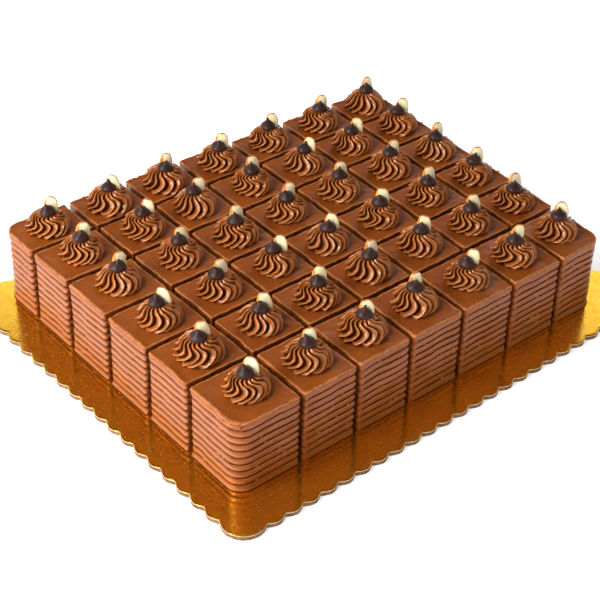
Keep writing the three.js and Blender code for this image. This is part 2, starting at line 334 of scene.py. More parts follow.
def chance(i, j, draw):
    """A repeatable random number from 0 to 1 for square i, j."""
    s = math.sin(i * CHANCE_STEPS[0] + j * CHANCE_STEPS[1] + draw * CHANCE_STEPS[2]) * CHANCE_SCALE
    return s - math.floor(s)


def spread(i, j, draw, amount):
    """The same from -amount to +amount."""
    return (2 * chance(i, j, draw) - 1) * amount


def shift(i, j, draws, amount):
    """The same twice, as a shift along X and Y."""
    return np.array([spread(i, j, draw, amount) for draw in draws])


def generator(i, j, seed):
    """The generator of random numbers for one thing on square i, j."""
    return np.random.default_rng(seed + i + SEEDS_A_ROW * j)


def crossing(i, j, column_shift, row_shift):
    """Where column line i meets row line j, each first moved sideways. The shifts may be arrays."""
    lean = COLUMN_FAN * i / COLUMNS
    slope = ROW_FAN * j / ROWS
    column = COLUMN_CUTS[i] + column_shift
    row = ROW_CUTS[j] + row_shift
    x = (column + lean * row) / (1 - lean * slope)
    return np.stack([x + CAKE_CORNER[0], row + slope * x + CAKE_CORNER[1]], axis=-1)


def rosette_middle(i, j):
    """The middle of the rosette on square i, j, at the height of the cake's top."""
    middle = (crossing(i, j, 0, 0) + crossing(i + 1, j + 1, 0, 0)) / 2
    middle += shift(i, j, MIDDLE_DRAWS, ROSETTE_SHIFT)
    return np.array([*middle, CAKE_FOOT + CAKE_HEIGHT])


def ripple(points, size, seed):
    """A smooth random value at each point, mostly from -1.5 to 1.5, from waves about size long."""
    rng = np.random.default_rng(seed)
    total = np.zeros(points.shape[:-1])
    for _ in range(RIPPLE_WAVES):
        way = rng.normal(size=points.shape[-1])
        way /= np.linalg.norm(way)
        length = size * rng.uniform(*RIPPLE_LENGTHS)
        total += np.sin(points @ way * (2 * math.pi / length) + rng.uniform(0, 2 * math.pi))
    return total / math.sqrt(RIPPLE_WAVES)


def drawn_ripple(points, waves, rng):
    """A ripple whose seed is drawn. waves is its depth and its length."""
    depth, length = waves
    return depth * ripple(points, length, rng.integers(RIPPLE_SEEDS))


def curve_through(points, count):
    """A smooth curve through the points, as count points spaced evenly by length."""
    p = np.array(points, float)
    p = np.vstack([2 * p[0] - p[1], p, 2 * p[-1] - p[-2]])
    t = np.linspace(0, 1, CURVE_STEPS, endpoint=False)[:, None]
    fine = []
    for a, b, c, d in zip(p, p[1:], p[2:], p[3:]):
        bend = 2 * a - 5 * b + 4 * c - d
        twist = 3 * b - a - 3 * c + d
        fine.append(0.5 * (2 * b + (c - a) * t + bend * t**2 + twist * t**3))
    fine = np.vstack(fine + [p[-2:-1]])
    length = np.append(0, np.cumsum(np.linalg.norm(np.diff(fine, axis=0), axis=1)))
    even = np.linspace(0, length[-1], count)
    return np.stack([np.interp(even, length, fine[:, k]) for k in range(fine.shape[1])], axis=-1)


def around(angle, radius=1):
    """Points of a plan at these angles round its middle."""
    return np.stack([radius * np.cos(angle), radius * np.sin(angle)], axis=-1)


def at_height(points, z):
    """Points of a plan, brought up to z."""
    return np.concatenate([points, np.broadcast_to(z, points.shape[:-1])[..., None]], axis=-1)


def add_object(name, data):
    """A new object in the scene."""
    made = bpy.data.objects.new(name, data)
    bpy.context.scene.collection.objects.link(made)
    return made


def steps_between(low, high, share):
    """From 0 at low to 1 at high, with a soft start and end."""
    t = np.clip((share - low) / (high - low), 0, 1)
    return t * t * (3 - 2 * t)


class Heap:
    """Collects closed shapes, each made of rings of points, that become one piece."""

    def __init__(self, *value_names):
        self.points = []
        self.faces = []
        self.slots = []
        self.values = {name: [] for name in value_names}
        self.total = 0

    def add_rings(self, rings, slots=None, **values):
        """rings is levels x count x 3. Both ends are closed. slots has a material number for the first end,
        each band of faces between two rings and the last end."""
        levels, count = rings.shape[:2]
        ends = np.stack([rings[0].mean(0), rings[-1].mean(0)])
        points = np.vstack([rings.reshape(-1, 3), ends])
        low = np.arange(levels)[:, None] * count
        a = low + np.arange(count)
        b = np.roll(a, -1, axis=1)
        bands = np.stack([a[:-1], b[:-1], b[1:], a[1:]], axis=-1).reshape(-1, 4)
        middle = np.full(count, levels * count)
        first = np.stack([b[0], a[0], middle], axis=-1)
        last = np.stack([a[-1], b[-1], middle + 1], axis=-1)
        turn = -1 if inside_out(points, bands, first, last) else 1
        for group in (first, bands, last):
            self.faces.extend((group[:, ::turn] + self.total).tolist())
        for slot in slots or [0] * (levels + 1):
            self.slots.extend([slot] * count)
        for name, value in values.items():
            flat = np.asarray(value, float).reshape(levels, count)
            self.values[name].append(np.concatenate([flat.ravel(), [flat[0].mean(), flat[-1].mean()]]))
        self.points.append(points)
        self.total += len(points)

    def piece(self, name, materials, *nodes):
        """Makes the object, in metres, which stands for these CAD nodes."""
        mesh = bpy.data.meshes.new(name)
        mesh.from_pydata((np.vstack(self.points) * MILLIMETRE).tolist(), [], self.faces)
        for material in materials:
            mesh.materials.append(material)
        mesh.polygons.foreach_set("material_index", self.slots)
        mesh.polygons.foreach_set("use_smooth", [True] * len(self.faces))
        for value_name, parts in self.values.items():
            layer = mesh.attributes.new(value_name, "FLOAT", "POINT")
            layer.data.foreach_set("value", np.concatenate(parts).astype(np.float32))
        mesh.update()
        made = add_object(name, mesh)
        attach(made, "root")
        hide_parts(*nodes)
        return made


def inside_out(points, bands, first, last):
    """True if the faces of a closed shape point inwards."""
    triangles = np.vstack([bands[:, [0, 1, 2]], bands[:, [0, 2, 3]], first, last])
    p, q, r = (points[triangles[:, k]] for k in range(3))
    return np.einsum("ij,ij->i", p, np.cross(q, r)).sum() < 0


# The squares of cake.

CORNERS = ((0, 0), (1, 0), (1, 1), (0, 1))
OUTWARD = ((0, -1), (1, 0), (0, 1), (-1, 0))  # which way each side of a square faces

# Kinds of side.
SCOOPED = 0
RIBBED = 1
CUT = 2
KIND_OF_SIDE = (RIBBED, RIBBED, SCOOPED, SCOOPED)  # front, right, back and left


def outer_sides(i, j):
    """Whether each side of a square is on the outside of the cake: front, right, back and left."""
    return (j == 0, i == COLUMNS - 1, j == ROWS - 1, i == 0)


def combed_levels(top_start):
    """The foot and the comb's bands as rows like those of BAND_SHAPE, but with heights in place of shares."""
    levels = [(0.0, 0.0, 0.0, FOOT_SHADE, FOOT_SHADE)]
    for band in range(BANDS):
        depth = TOP_BAND_DEPTH if band == BANDS - 1 else 1
        for share, *shape in BAND_SHAPE:
            z = (band + share) * BAND_PITCH
            if 0 < z < top_start:
                levels.append((z, *(value * depth for value in shape)))
    return levels


def side_levels(combed):
    """Heights up a side, and how far in each kind of side is, and its painted shading: levels x kinds."""
    top_start = CAKE_HEIGHT - TOP_ROUND
    if combed:
        levels = combed_levels(top_start)
    else:
        levels = [(top_start * (1 - step**2), 0.0, 0.0, 0.0, 0.0) for step in np.linspace(*CUT_STEPS)]
    levels = np.array(levels)
    levels[:, 1:3] -= FOOT_FLARE * np.exp(-((levels[:, :1] / FOOT_FLARE_HEIGHT) ** 2))
    angle = np.linspace(0, math.pi / 2, ROUND_STEPS)
    bevel = TOP_BEVEL * (1 - np.cos(angle))
    rounded = np.stack([top_start + TOP_ROUND * np.sin(angle), bevel, bevel, 0 * angle, 0 * angle], axis=-1)
    levels = np.vstack([levels, rounded])
    heights = levels[:, 0]
    rounding = np.clip((heights - CAKE_HEIGHT + CUT_EDGE) / CUT_EDGE, 0, 1)
    cut = CUT_INSET + CUT_EDGE * (1 - np.sqrt(1 - rounding**2))
    insets = np.stack([levels[:, 1], levels[:, 2], cut], axis=-1)
    shade = np.stack([levels[:, 3], levels[:, 4], np.zeros(len(heights))], axis=-1)
    return heights, insets, shade


def dragged(i, j, corner):
    """True for an upright edge that the knife pulled round: the left one of a square on the front or left
    side."""
    on_front = j == 0 and i > 0 and corner == (0, 0)
    on_left = i == 0 and j < ROWS - 1 and corner == (0, 1)
    return on_front or on_left


def corner_size(i, j, corner):
    """The radius of a corner with a cut at one or both of its sides."""
    if dragged(i, j, corner):
        return DRAGGED_CORNER_RADIUS
    on_outside = (i + corner[0]) % COLUMNS == 0 or (j + corner[1]) % ROWS == 0
    return CRISP_CORNER_RADIUS if on_outside else CUT_CORNER_RADIUS


def corner_arc(i, j, corner, before, after, is_cake_corner):
    """The points round one corner of a square at every level: levels x points x 2. before and after are how
    far in its two sides are."""
    di, dj = corner
    inward_x = -1 if di else 1
    inward_y = -1 if dj else 1
    if is_cake_corner:
        steps = CORNER_STEPS
        centre = crossing(i + di, j + dj, inward_x * CORNER_RADIUS, inward_y * CORNER_RADIUS)
        centre = np.broadcast_to(centre, (len(before), 2))
        share = np.linspace(0, 1, steps + 1)
        radius = CORNER_RADIUS - before[:, None] * (1 - share) - after[:, None] * share
    else:
        steps = CUT_CORNER_STEPS
        size = corner_size(i, j, corner)
        in_x, in_y = (before, after) if di == dj else (after, before)
        centre = crossing(i + di, j + dj, inward_x * (in_x + size), inward_y * (in_y + size))
        radius = np.full((len(before), 1), size)
    start = math.atan2(-inward_y, -inward_x) - math.pi / 4
    angle = start + np.linspace(0, math.pi / 2, steps + 1)
    return centre[:, None] + radius[..., None] * around(angle)[None]


def along_side(is_outer, length):
    """Where the points between a side's two corner arcs are, as shares of its length."""
    ends = np.array(END_STEPS) / length if is_outer else np.array(CUT_END_STEPS)
    middle = np.linspace(*(MIDDLE_STEPS if is_outer else CUT_MIDDLE_STEPS))
    return np.concatenate([ends, middle, 1 - ends[::-1]])


def closeness(distance, reach):
    """From 1 at distance 0 to nearly 0 at twice the reach."""
    return np.exp(-((distance / reach) ** 2))


class Outline:
    """The outline of one square at every level: combed where it is on the outside, and cut elsewhere.

    A corner or side is its points (levels x points x 2), how far they are into a cut, scaled so that the
    icing ends at ICING_DEPTH, whether they are on the outside, and their painted shading: painted shade
    in the grooves, the notches and at the foot, and a painted sheen on the lips.
    """

    def __init__(self, i, j):
        self.outer = outer_sides(i, j)
        kinds = [KIND_OF_SIDE[side] if self.outer[side] else CUT for side in range(4)]
        self.heights, insets, shade = side_levels(any(self.outer))
        below_rim = self.heights < CAKE_HEIGHT - TOP_ROUND
        up_band = self.heights / BAND_PITCH % 1
        nearness = np.maximum(1 - 2 * np.minimum(up_band, 1 - up_band), 0)
        self.notch = (nearness**2 * below_rim * (self.heights > NUB_FOOT))[:, None]
        self.shade = [shade[:, [kind]] for kind in kinds]
        self.filling = [SMOOTHING * (kind != CUT) * insets[:, [kind]] * below_rim[:, None] for kind in kinds]
        self.smoothed = (dragged(i, j, CORNERS[0]), False, False, False)
        self.arcs = []
        for side, corner in enumerate(CORNERS):
            is_cake_corner = self.outer[side - 1] and self.outer[side]
            before, after = insets[:, kinds[side - 1]], insets[:, kinds[side]]
            self.arcs.append(corner_arc(i, j, corner, before, after, is_cake_corner))

    def corner(self, side):
        """The corner before a side."""
        points = self.arcs[side]
        before, is_outer = self.outer[side - 1], self.outer[side]
        turned = np.linspace(0, 1, points.shape[1])
        smoothness = turned * self.smoothed[side]
        shade = self.shade[side - 1] * (1 - turned) + self.shade[side] * turned
        if is_outer != before:
            facing = np.array(OUTWARD[side] if is_outer else OUTWARD[side - 1])
            inwards = self.notch * NUB_DEPTH * (1 - smoothness) - self.filling[side] * smoothness
            points = points - inwards[..., None] * facing
            # painted shade in the notches where the bands end at a cut
            shade = shade + self.notch
        outside = np.full(len(turned), float(is_outer or before))
        return points, np.zeros(len(turned)), outside, shade * (1 - smoothness)

    def side(self, side):
        """The straight part of a side, between two corners."""
        start = self.arcs[side][:, -1:]
        end = self.arcs[(side + 1) % 4][:, :1]
        before, is_outer, after = self.outer[side - 1], self.outer[side], self.outer[(side + 1) % 4]
        length = np.linalg.norm(end[0, 0] - start[0, 0])
        share = along_side(is_outer, length)
        points = start + (end - start) * share[None, :, None]
        from_start = share * length if before != is_outer else np.full(len(share), FAR)
        from_end = (1 - share) * length if after != is_outer else np.full(len(share), FAR)
        smoothness = closeness(from_start, SMOOTH_REACH) * self.smoothed[side]
        nubs = closeness(from_end, NUB_REACH) + closeness(from_start, NUB_REACH) * (not self.smoothed[side])
        shade = np.repeat(self.shade[side], len(share), axis=1)
        if is_outer:
            inwards = self.notch * NUB_DEPTH * nubs - self.filling[side] * smoothness
            points = points - inwards[..., None] * np.array(OUTWARD[side])
            # painted shade in the notches where the bands end at a cut
            shade = shade + self.notch * nubs
        depth = np.minimum(from_start, from_end) * (not is_outer) * ICING_DEPTH / SIDE_ICING_DEPTH
        return points, depth, np.full(len(share), float(is_outer)), shade * (1 - smoothness)

    def whole(self):
        """The corners and sides together, in order round the square."""
        parts = [part(side) for side in range(4) for part in (self.corner, self.side)]
        return [np.concatenate(values, axis=min(1, values[0].ndim - 1)) for values in zip(*parts)]


def top_rings(edge, outside):
    """Rings from a square's top edge to its middle, and how far their points are from the edge."""
    inwards = (edge[:, :2].mean(0) - edge[:, :2]) * np.array(TOP_STEPS)[:, None, None]
    distance = np.linalg.norm(inwards, axis=-1)
    rings = np.repeat(edge[None], len(TOP_STEPS), axis=0)
    rings[..., :2] += inwards
    rings[..., 2] += outside * LIP_HEIGHT * np.exp(-((distance / LIP_WIDTH - LIP_CREST) ** 2) * LIP_STEEPNESS)
    return rings, distance


def cake_square(i, j, heap):
    """One square, with rounded top edges, combed sides where it is on the outside, and crumb in its cuts."""
    outline = Outline(i, j)
    points, into_cut, outside, groove = outline.whole()
    sides = at_height(points, outline.heights[:, None])
    tops, from_edge = top_rings(sides[-1], outside)
    rings = np.concatenate([sides, tops])
    level = np.arange(len(rings))[:, None]
    is_side = level < len(sides)
    depth = np.minimum(into_cut[None], CAKE_HEIGHT - rings[..., 2]) * is_side
    groove = np.concatenate([groove, np.zeros(tops.shape[:2])])
    # rim: the painted highlight along the top edges, fading away from them
    rim = closeness(np.concatenate([CAKE_HEIGHT - sides[..., 2], from_edge]), RIM_WIDTH)
    for corner in CORNERS:
        if dragged(i, j, corner):
            rings[..., 2] -= pulled_down(rings, crossing(i + corner[0], j + corner[1], 0, 0))
    on_top = level >= len(sides) - 2
    rings = uneven(rings, outside * is_side, (into_cut > 0)[None], on_top)
    heap.add_rings(rings + (0, 0, CAKE_FOOT), depth=depth, groove=groove, rim=rim)


def pulled_down(rings, edge):
    """How far each point sinks because the knife pulled it down at this upright edge."""
    from_edge = np.linalg.norm(rings[..., :2] - edge, axis=-1)
    at_foot = np.clip(rings[..., 2] / DRAG_FADE, 0, 1)
    at_top = np.clip(DRAG_AT_TOP + (CAKE_HEIGHT - rings[..., 2]) / DRAG_FADE, 0, 1)
    return DRAG_DEPTH * (at_foot * at_top) * np.exp(-((from_edge / DRAG_REACH) ** DRAG_FALLOFF))


def uneven(points, on_side, on_wall, on_top):
    """Moves a square's points a little by WAVES. The last three say how far each point belongs to a combed
    side, a cut wall and the top."""
    lift = np.minimum(points[..., 2] / STEADY_FOOT, 1)
    weights = {"anywhere": lift, "side": on_side * lift, "wall": on_wall * lift, "top": on_top}
    moved = points.copy()
    for where, axes, length, depth, upwards, seed in WAVES:
        for number, axis in enumerate(axes):
            wave = ripple(points * (1, 1, upwards), length, seed + number)
            moved[..., axis] += weights[where] * depth * wave
    return moved


def smear(path, outwards, width, heap):
    """A thin ridge of icing along a path, tapered to both ends and half sunk in the surface."""
    share = np.linspace(0, 1, len(path))
    radius = width * np.sin(math.pi * np.clip(share, SMEAR_END, 1 - SMEAR_END)) ** SMEAR_TAPER
    along = np.gradient(path, axis=0)
    along /= np.linalg.norm(along, axis=1, keepdims=True)
    sideways = np.cross(along, outwards)
    angle = np.linspace(0, 2 * math.pi, SMEAR_POINTS, endpoint=False)[None, :, None]
    rings = path[:, None] + radius[:, None, None] * (
        np.cos(angle) * outwards[:, None] + np.sin(angle) * sideways[:, None]
    )
    nothing = np.zeros(rings.shape[:2])
    # Painted shade on the right of the way that the fold runs, and a painted highlight on its left.
    on_right = nothing + np.sin(angle[..., 0])
    shade = SMEAR_SHADE * np.maximum(on_right, 0)
    light = SMEAR_RIM * np.maximum(SMEAR_RIM_START - on_right, 0)
    near_top = path[:, 2:] > CAKE_HEIGHT - BAND_PITCH
    rings = uneven(rings, 1, 0, near_top)
    heap.add_rings(rings + (0, 0, CAKE_FOOT), depth=nothing, groove=shade, rim=light)


def corner_smears(heap):
    """The folds that the spatula left round the front corner."""
    half = CORNER_RADIUS * math.pi / 4
    centre = np.array(CAKE_CORNER) + CORNER_RADIUS
    for start, end, start_depth, end_depth, width in CORNER_SMEARS:
        distance = np.linspace(start, end, SMEAR_STEPS)
        turn = np.clip(distance, -half, half) / CORNER_RADIUS
        angle = FRONT_CORNER_WAY + turn
        way = around(angle)
        tangent = np.stack([-np.sin(angle), np.cos(angle)], axis=-1)
        beyond = distance - turn * CORNER_RADIUS
        place = centre + (CORNER_RADIUS - SMEAR_INSET) * way + beyond[:, None] * tangent
        depth = np.linspace(start_depth, end_depth, len(distance))
        depth = depth + SMEAR_WAVE * np.sin(distance * SMEAR_WAVINESS)
        smear(at_height(place, CAKE_HEIGHT - depth), at_height(way, 0), width, heap)


def burrs(i, j, heap):
    """Crumbs of icing along a square's outer top edges and along the lines that the comb left below them."""
    rng = generator(i, j, BURR_SEED)
    for side, is_outer in enumerate(outer_sides(i, j)):
        if not is_outer:
            continue
        first = CORNERS[side]
        last = CORNERS[(side + 1) % 4]
        start = crossing(i + first[0], j + first[1], 0, 0)
        along = crossing(i + last[0], j + last[1], 0, 0) - start
        outwards = np.array((*OUTWARD[side], 0.0))
        for number in range(BURRS + LINE_BURRS):
            length = rng.uniform(*BURR_LENGTH) / np.linalg.norm(along)
            share = rng.uniform(*BURR_PLACE) + np.linspace(0, length, BURR_STEPS)
            place = start + along * share[:, None] - outwards[:2] * rng.uniform(*BURR_INSET)
            line = rng.integers(1, BANDS) * BAND_PITCH
            height = (CAKE_HEIGHT if number < BURRS else line) + rng.uniform(*BURR_LIFT)
            normals = np.tile(outwards, (len(place), 1))
            smear(at_height(place, height), normals, rng.uniform(*BURR_SIZE), heap)


# The piped rosettes, drops and nuts.


def ridge_sweep(share, rng):
    """How far round the ridges of one rosette have swept at each share of the way to its foot."""
    sweep = 0
    for curve, strengths in ((RIDGE_SWEEP, SWEEP_RANGE), (RIDGE_WAVER, WAVER_RANGE)):
        points = curve_through(curve, RIDGE_CURVE_STEPS)
        sweep = sweep + rng.uniform(*strengths) * np.interp(share, points[:, 0], points[:, 1])
    return sweep


def rosette(i, j, heap):
    """One piped rosette: ridges that leave the middle, sweep one way and then hook back at the foot."""
    rng = generator(i, j, ROSETTE_SEED)
    size = 1 + spread(i, j, SIZE_DRAW, ROSETTE_SIZE_SPREAD)
    outline = curve_through(ROSETTE_OUTLINE, ROSETTE_LEVELS)
    slope = np.gradient(outline, axis=0)
    slope /= np.linalg.norm(slope, axis=1, keepdims=True)
    normal = np.stack([-slope[:, 1], slope[:, 0]], axis=-1)
    share = np.linspace(0, 1, ROSETTE_LEVELS)[:, None]
    across, rise = np.array(RIDGE_SHAPE).T
    number = np.repeat(np.arange(ROSETTE_RIDGES), len(across))
    turned = (number + np.tile(across, ROSETTE_RIDGES)) * 2 * math.pi / ROSETTE_RIDGES
    crest = np.tile(rise, ROSETTE_RIDGES)[None]
    circle = around(turned, RIPPLE_CIRCLE)
    sweep = ridge_sweep(share, rng)
    wobble = drawn_ripple(circle, RIDGE_WOBBLE, rng)[None] * share
    angle = chance(i, j, TURN_DRAW) * 2 * math.pi + turned[None] + sweep + wobble
    strength = rng.uniform(*CREST_RANGE, ROSETTE_RIDGES)[number]
    inwards = np.interp(share, *np.array(RIDGE_DEPTH).T) * (1 - crest * strength)
    reach = rng.normal(0, REACH_SPREAD, ROSETTE_RIDGES)[number] * crest * steps_between(0.55, 0.95, share)
    lobes = 1 + drawn_ripple(circle, ROSETTE_LOBES, rng)[None]
    radius = np.maximum(outline[:, :1] - normal[:, :1] * inwards + reach, SMALLEST_RADIUS) * size * lobes
    height = (outline[:, 1:] - normal[:, 1:] * inwards) * size
    points = at_height(around(angle, radius), height)
    roughness = drawn_ripple(points, ROSETTE_ROUGHNESS, rng) * np.minimum(share / SMOOTH_TOP, 1)
    points += roughness[..., None] * ROUGHNESS_WAYS
    # Painted shade in the grooves between the ridges, and a painted highlight along their crests.
    painted_groove_shade = steps_between(0.3, 0.8, 1 - crest) * steps_between(0.05, 0.3, share)
    painted_crest_highlight = steps_between(0.86, 1, crest) * steps_between(0.2, 0.4, share)
    heap.add_rings(points + rosette_middle(i, j), groove=painted_groove_shade - painted_crest_highlight)


def drop(i, j, heap):
    """One chocolate drop with its small pulled tip."""
    rng = generator(i, j, DROP_SEED)
    outline = curve_through(DROP_OUTLINE, DROP_LEVELS)
    angle = np.linspace(0, 2 * math.pi, DROP_POINTS, endpoint=False)
    roundness = 1
    for count, depth in DROP_WAVES:
        roundness = roundness + depth * np.cos(count * angle + rng.uniform(*DROP_PHASES))
    radius = outline[:, :1] * roundness
    height = np.broadcast_to(outline[:, 1:], radius.shape) - DROP_FOOT
    points = at_height(around(angle, radius), height)
    up = np.clip(height / (DROP_TIP - DROP_FOOT), 0, 1)
    way = rng.uniform(0, 2 * math.pi)
    curl = DROP_CURL * rng.uniform(*DROP_CURL_RANGE) * up**4
    points[..., 0] += curl * math.cos(way)
    points[..., 1] += curl * math.sin(way)
    axis = way + DROP_TILT_WAY
    tilt = Matrix.Rotation(rng.uniform(0, DROP_TILT), 3, (math.cos(axis), math.sin(axis), 0))
    points = points @ np.array(tilt).T
    points += drawn_ripple(points, DROP_RIPPLE, rng)[..., None]
    place = np.array((*shift(i, j, DROP_DRAWS, DROP_SHIFT), DROP_FOOT))
    heap.add_rings(points + rosette_middle(i, j) + place)


def nut_rings():
    """The size of the nut's rings and how far back they are, from its face's middle to its back's."""
    face = [(s, -NUT_FACE_BULGE * NUT_THICKNESS * (1 - s**NUT_FACE_FLATNESS)) for s in NUT_FACE_SIZES]
    rim = [(s, back * NUT_THICKNESS) for s, back in NUT_RIM]
    back = []
    for angle in np.linspace(*NUT_BACK_ANGLES):
        rise = (1 - NUT_BACK_START) * math.sin(angle)
        back.append((math.cos(angle), NUT_THICKNESS * (NUT_BACK_START + rise)))
    return np.array(face + rim + back)


def squarer(value):
    """A sine or cosine, changed so that an ellipse becomes squarer."""
    return np.sign(value) * np.abs(value) ** NUT_SQUARENESS


def nut(i, j, heap):
    """One nut half on end: a nearly flat face towards the front corner, and a round back with skin."""
    rng = generator(i, j, NUT_SEED)
    rings = nut_rings()
    scale = rings[:, :1]
    angle = np.linspace(0, 2 * math.pi, NUT_POINTS, endpoint=False)
    up = scale * NUT_HEIGHT / 2 * squarer(np.cos(angle))
    narrowing = 1 - NUT_NARROWING * up / NUT_HEIGHT
    across = scale * narrowing * NUT_WIDTH / 2 * squarer(np.sin(angle))
    backwards = np.broadcast_to(rings[:, 1:], up.shape)
    points = np.stack([backwards, across, up], axis=-1)
    points += drawn_ripple(points, NUT_RIPPLE, rng)[..., None]
    height_share = up / (NUT_HEIGHT / 2)
    at_side = steps_between(0.36, 0.74, across / NUT_WIDTH * 2)
    at_rim = steps_between(0.88, 0.985, scale) * steps_between(0.2, 0.7, height_share)
    at_back = steps_between(-0.02, 0.2, backwards / NUT_THICKNESS)
    skin = at_back + SIDE_SKIN * at_side + RIM_SKIN * at_rim
    tip = steps_between(0.88, 1.0, height_share)
    direction = NUT_DIRECTION + spread(i, j, NUT_DIRECTION_DRAW, NUT_SWING)
    turn = Matrix.Rotation(direction + NUT_TURN + spread(i, j, NUT_TURN_DRAW, NUT_SWING / 2), 3, "Z")
    lean = Matrix.Rotation(spread(i, j, NUT_LEAN_DRAW, NUT_LEAN), 3, "X")
    points = points @ np.array(turn @ lean).T
    behind = (NUT_BEHIND * math.cos(direction), NUT_BEHIND * math.sin(direction))
    place = np.array((*behind, NUT_TOP - NUT_HEIGHT / 2))
    heap.add_rings(points + rosette_middle(i, j) + place, skin=skin, tip=tip)


# The board.


def scallop_row(start, end, count):
    """Points along one straight side of the board, as a row of shallow arcs that bulge outwards."""
    along = (end - start) / count
    out = np.array((along[1], -along[0])) / np.linalg.norm(along)
    share = np.arange(count * SCALLOP_STEPS)[:, None] / SCALLOP_STEPS
    return start + along * share + out * SCALLOP_BULGE * np.sin(math.pi * (share % 1))


def corner_lobe(start, end):
    """The larger round lobe at a corner of the board."""
    chord = end - start
    half = np.linalg.norm(chord) / 2
    out = np.array((chord[1], -chord[0])) / (2 * half)
    centre = (start + end) / 2 - out * math.sqrt(LOBE_RADIUS**2 - half**2)
    first = math.atan2(*(start - centre)[::-1])
    angle = first + 2 * math.asin(half / LOBE_RADIUS) * np.arange(LOBE_STEPS) / LOBE_STEPS
    return centre + around(angle, LOBE_RADIUS)


def board_outline():
    """The board's whole outline, counterclockwise from above."""
    x = BOARD_LENGTH / 2
    y = BOARD_WIDTH / 2
    front = np.array(((-x + LOBE_CUSP, -y + SCALLOP_BULGE), (x - LOBE_CUSP, -y + SCALLOP_BULGE)))
    right = np.array(((x - SCALLOP_BULGE, -y + LOBE_CUSP), (x - SCALLOP_BULGE, y - LOBE_CUSP)))
    sides = (front, right, -front, -right)
    parts = []
    for number, side in enumerate(sides):
        parts.append(scallop_row(*side, SCALLOPS_ACROSS if number % 2 else SCALLOPS_ALONG))
        parts.append(corner_lobe(side[1], sides[(number + 1) % 4][0]))
    cos = math.cos(BOARD_TURN)
    sin = math.sin(BOARD_TURN)
    return np.vstack(parts) @ np.array(((cos, -sin), (sin, cos))).T


def cake_board(materials):
    """The board: foil on top, the paper's edge, the fluted core and the brown liner below."""
    outline = board_outline()
    along = np.roll(outline, -1, axis=0) - np.roll(outline, 1, axis=0)
    out = np.stack([along[:, 1], -along[:, 0]], axis=-1) / np.linalg.norm(along, axis=1, keepdims=True)
    step = np.linalg.norm(np.diff(outline, axis=0, append=outline[:1]), axis=1)
    travelled = np.append(0, np.cumsum(step)[:-1])
    flutes = np.sin(travelled * 2 * math.pi / FLUTE_PITCH) ** 2
    rings = []
    slots = [LINER]
    for z, inset, slot in BOARD_LEVELS:
        recess = FLUTE_DEPTH * flutes * (FLUTED[0] <= z <= FLUTED[1])
        ring = outline - out * (inset + recess)[:, None]
        rings.append(at_height(ring, z))
        slots.append(slot)
    heap = Heap()
    heap.add_rings(np.stack(rings), slots)
    return heap.piece("gold_board", materials, "cake_board")


# Materials.


class Nodes:
    """Short calls for building a material, or the world, from nodes. Places and distances are in metres."""

    def __init__(self, name, kind="Material", shader="BsdfPrincipled", place="Object"):
        self.made = (bpy.data.worlds if kind == "World" else bpy.data.materials).new(name)
        self.made.use_nodes = True
        self.tree = self.made.node_tree
        self.tree.nodes.clear()
        self.shader = self.tree.nodes.new("ShaderNode" + shader)
        output = self.tree.nodes.new("ShaderNodeOutput" + kind)
        self.put(output.inputs["Surface"], self.shader.outputs[0])
        self.place = self.add("TexCoord", place)

    def put(self, target, value):
        """Links value if it is another node's output, and otherwise sets it."""
        if isinstance(value, bpy.types.NodeSocket):
            self.tree.links.new(value, target)
        else:
            target.default_value = value

    def add(self, kind, output, inputs=None, **settings):
        """The named or numbered output of a new node with these inputs and settings."""
        node = self.tree.nodes.new("ShaderNode" + kind)
        for name, value in settings.items():
            setattr(node, name, value)
        for name, value in (inputs or {}).items():
            self.put(node.inputs[name], value)
        return node.outputs[output]

    def noise(self, scale, detail=3.0, roughness=0.5, where=None):
        """A cloudy value that is mostly from 0.3 to 0.7, with scale clouds to a metre."""
        inputs = {"Scale": scale, "Detail": detail, "Roughness": roughness, "Vector": where or self.place}
        return self.add("TexNoise", "Fac", inputs)

    def math(self, operation, a, b):
        return self.add("Math", 0, {0: a, 1: b}, operation=operation)

    def ramp(self, value, low, high, to_low=0.0, to_high=1.0):
        """value brought from low..high to to_low..to_high, and kept there."""
        inputs = {"Value": value, "From Min": low, "From Max": high, "To Min": to_low, "To Max": to_high}
        return self.add("MapRange", 0, inputs)

    def mix(self, share, a, b):
        """Colour a where share is 0 and colour b where it is 1."""
        a, b = (value if isinstance(value, bpy.types.NodeSocket) else (*value, 1.0) for value in (a, b))
        return self.add("Mix", 2, {"Factor": share, 6: a, 7: b}, data_type="RGBA")

    def value(self, name):
        """One of the values that a heap keeps for each point."""
        return self.add("Attribute", "Fac", attribute_name=name)

    def height(self):
        return self.add("SeparateXYZ", "Z", {0: self.place})

    def bump(self, height, distance, strength=1.0, after=None):
        """The normal of a surface with bumps up to distance high, on top of the bumps in after."""
        inputs = {"Strength": strength, "Distance": distance, "Height": height}
        if after is not None:
            inputs["Normal"] = after
        return self.add("Bump", 0, inputs)

    def set(self, **sockets):
        """Sets or links the shader's inputs, whose names have _ for a space here."""
        for name, value in sockets.items():
            self.put(self.shader.inputs[name.replace("_", " ")], value)


